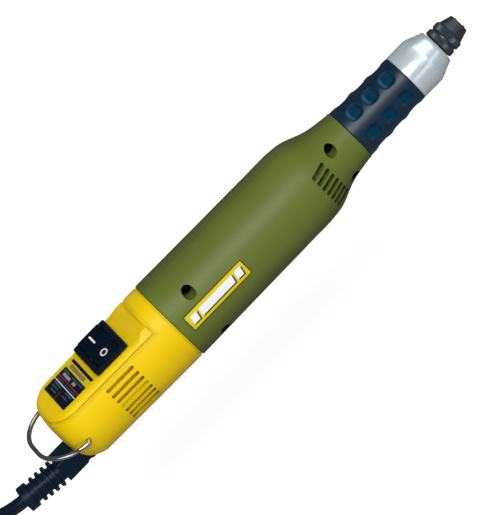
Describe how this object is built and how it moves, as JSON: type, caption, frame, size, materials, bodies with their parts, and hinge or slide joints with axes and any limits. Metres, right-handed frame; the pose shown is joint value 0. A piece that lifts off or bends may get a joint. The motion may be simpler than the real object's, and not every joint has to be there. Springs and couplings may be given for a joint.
{
  "type": "straight mains rotary tool",
  "caption": "Straight in-line mains rotary tool with keyless chuck, aluminium nose collar, soft grip, half-shell barrel, yellow end cap with rocker switch, wire bail and cable stub.",
  "frame": {"origin": "centre of the nose collar's front face, on the spindle axis", "axes": "+X along the spindle towards the chuck tip, +Z the outward normal of the flat that carries the rocker switch, screw heads on the -Y side"},
  "size_m": [0.2746, 0.0446, 0.035],
  "materials": {
    "olive_shell": "satin",
    "yellow_cap": "satin",
    "navy_grip": "satin",
    "collar_aluminium": "satin",
    "black_steel": "satin",
    "steel": "polished",
    "bail_wire": "polished",
    "switch_plastic": "gloss",
    "black_rubber": "satin",
    "name_plate_print": "gloss",
    "label_print": "gloss",
    "copper": "satin",
    "carbon": "matte",
    "ferrite": "matte",
    "core_steel": "satin",
    "brass_parts": "satin",
    "board_laminate": "satin",
    "inner_plastic": "matte"
  },
  "bodies": {
    "housing": {"housing_right": "olive_shell", "housing_left": "olive_shell", "grip_right": "navy_grip", "grip_left": "navy_grip", "nose_collar": "collar_aluminium", "end_cap": "yellow_cap", "housing_screws": "black_steel", "name_plate": "name_plate_print", "rating_label": "label_print", "motor_can": "core_steel", "field_magnets": "ferrite", "motor_end_bell": "inner_plastic", "brush_holders": "brass_parts", "carbon_brushes": "carbon", "brush_springs": "steel", "switch_body": "switch_plastic", "switch_terminals": "brass_parts", "rectifier_board": "board_laminate", "board_components": "inner_plastic", "internal_leads": "black_rubber", "cable_sleeve": "black_rubber", "mains_cable": "black_rubber", "cable_clamp": "inner_plastic", "cable_clamp_screws": "steel", "front_bearing_outer_race": "steel", "rear_bearing_outer_race": "steel", "motor_front_bearing_outer_race": "steel", "motor_rear_bearing_outer_race": "steel"},
    "spindle": {"spindle": "steel", "shaft_coupling": "brass_parts", "motor_shaft": "steel", "armature_core": "core_steel", "armature_windings": "copper", "commutator": "copper", "cooling_fan": "inner_plastic", "chuck_body": "black_steel", "chuck_retaining_ring": "steel", "front_bearing_inner_race": "steel", "rear_bearing_inner_race": "steel", "motor_front_bearing_inner_race": "steel", "motor_rear_bearing_inner_race": "steel"},
    "chuck_sleeve": {"chuck_sleeve": "black_steel"},
    "jaw_a": {"chuck_jaw_a": "steel"},
    "jaw_b": {"chuck_jaw_b": "steel"},
    "jaw_c": {"chuck_jaw_c": "steel"},
    "rocker": {"rocker": "switch_plastic"},
    "bail": {"hanging_bail": "bail_wire"},
    "front_bearing_balls": {"front_bearing_balls": "steel"},
    "rear_bearing_balls": {"rear_bearing_balls": "steel"},
    "motor_front_bearing_balls": {"motor_front_bearing_balls": "steel"},
    "motor_rear_bearing_balls": {"motor_rear_bearing_balls": "steel"}
  },
  "joints": [
    {"name": "spindle_spin", "type": "hinge", "parent": "housing", "child": "spindle", "pos_m": [0, 0, 0], "axis": [1, 0, 0], "continuous": true},
    {"name": "chuck_sleeve_turn", "type": "hinge", "parent": "spindle", "child": "chuck_sleeve", "pos_m": [0.006, 0, 0], "axis": [1, 0, 0], "range_deg": [0, 900]},
    {"name": "rocker_tip", "type": "hinge", "parent": "housing", "child": "rocker", "pos_m": [-0.1634, 0, 0.0124], "axis": [1, 0, 0], "range_deg": [-19, 0]},
    {"name": "bail_swing", "type": "hinge", "parent": "housing", "child": "bail", "pos_m": [-0.1898, 0, 0], "axis": [0, 1, 0], "range_deg": [-23, 88]},
    {"name": "jaw_a_slide", "type": "slide", "parent": "spindle", "child": "jaw_a", "axis": [0.9397, 0, -0.342], "range_m": [0, 0.004]},
    {"name": "jaw_b_slide", "type": "slide", "parent": "spindle", "child": "jaw_b", "axis": [0.9397, 0.2962, 0.171], "range_m": [0, 0.004]},
    {"name": "jaw_c_slide", "type": "slide", "parent": "spindle", "child": "jaw_c", "axis": [0.9397, -0.2962, 0.171], "range_m": [0, 0.004]},
    {"name": "front_bearing_balls_orbit", "type": "hinge", "parent": "housing", "child": "front_bearing_balls", "pos_m": [-0.01, 0, 0], "axis": [1, 0, 0], "continuous": true},
    {"name": "rear_bearing_balls_orbit", "type": "hinge", "parent": "housing", "child": "rear_bearing_balls", "pos_m": [-0.0489, 0, 0], "axis": [1, 0, 0], "continuous": true},
    {"name": "motor_front_bearing_balls_orbit", "type": "hinge", "parent": "housing", "child": "motor_front_bearing_balls", "pos_m": [-0.0842, 0, 0], "axis": [1, 0, 0], "continuous": true},
    {"name": "motor_rear_bearing_balls_orbit", "type": "hinge", "parent": "housing", "child": "motor_rear_bearing_balls", "pos_m": [-0.134, 0, 0], "axis": [1, 0, 0], "continuous": true}
  ],
  "couplings": [
    {"joint": "jaw_a_slide", "follows": "chuck_sleeve_turn", "m_per_rad": 0.00025465},
    {"joint": "jaw_b_slide", "follows": "chuck_sleeve_turn", "m_per_rad": 0.00025465},
    {"joint": "jaw_c_slide", "follows": "chuck_sleeve_turn", "m_per_rad": 0.00025465},
    {"joint": "front_bearing_balls_orbit", "follows": "spindle_spin", "ratio": 0.3905},
    {"joint": "rear_bearing_balls_orbit", "follows": "spindle_spin", "ratio": 0.3667},
    {"joint": "motor_front_bearing_balls_orbit", "follows": "spindle_spin", "ratio": 0.3769},
    {"joint": "motor_rear_bearing_balls_orbit", "follows": "spindle_spin", "ratio": 0.3769}
  ]
}
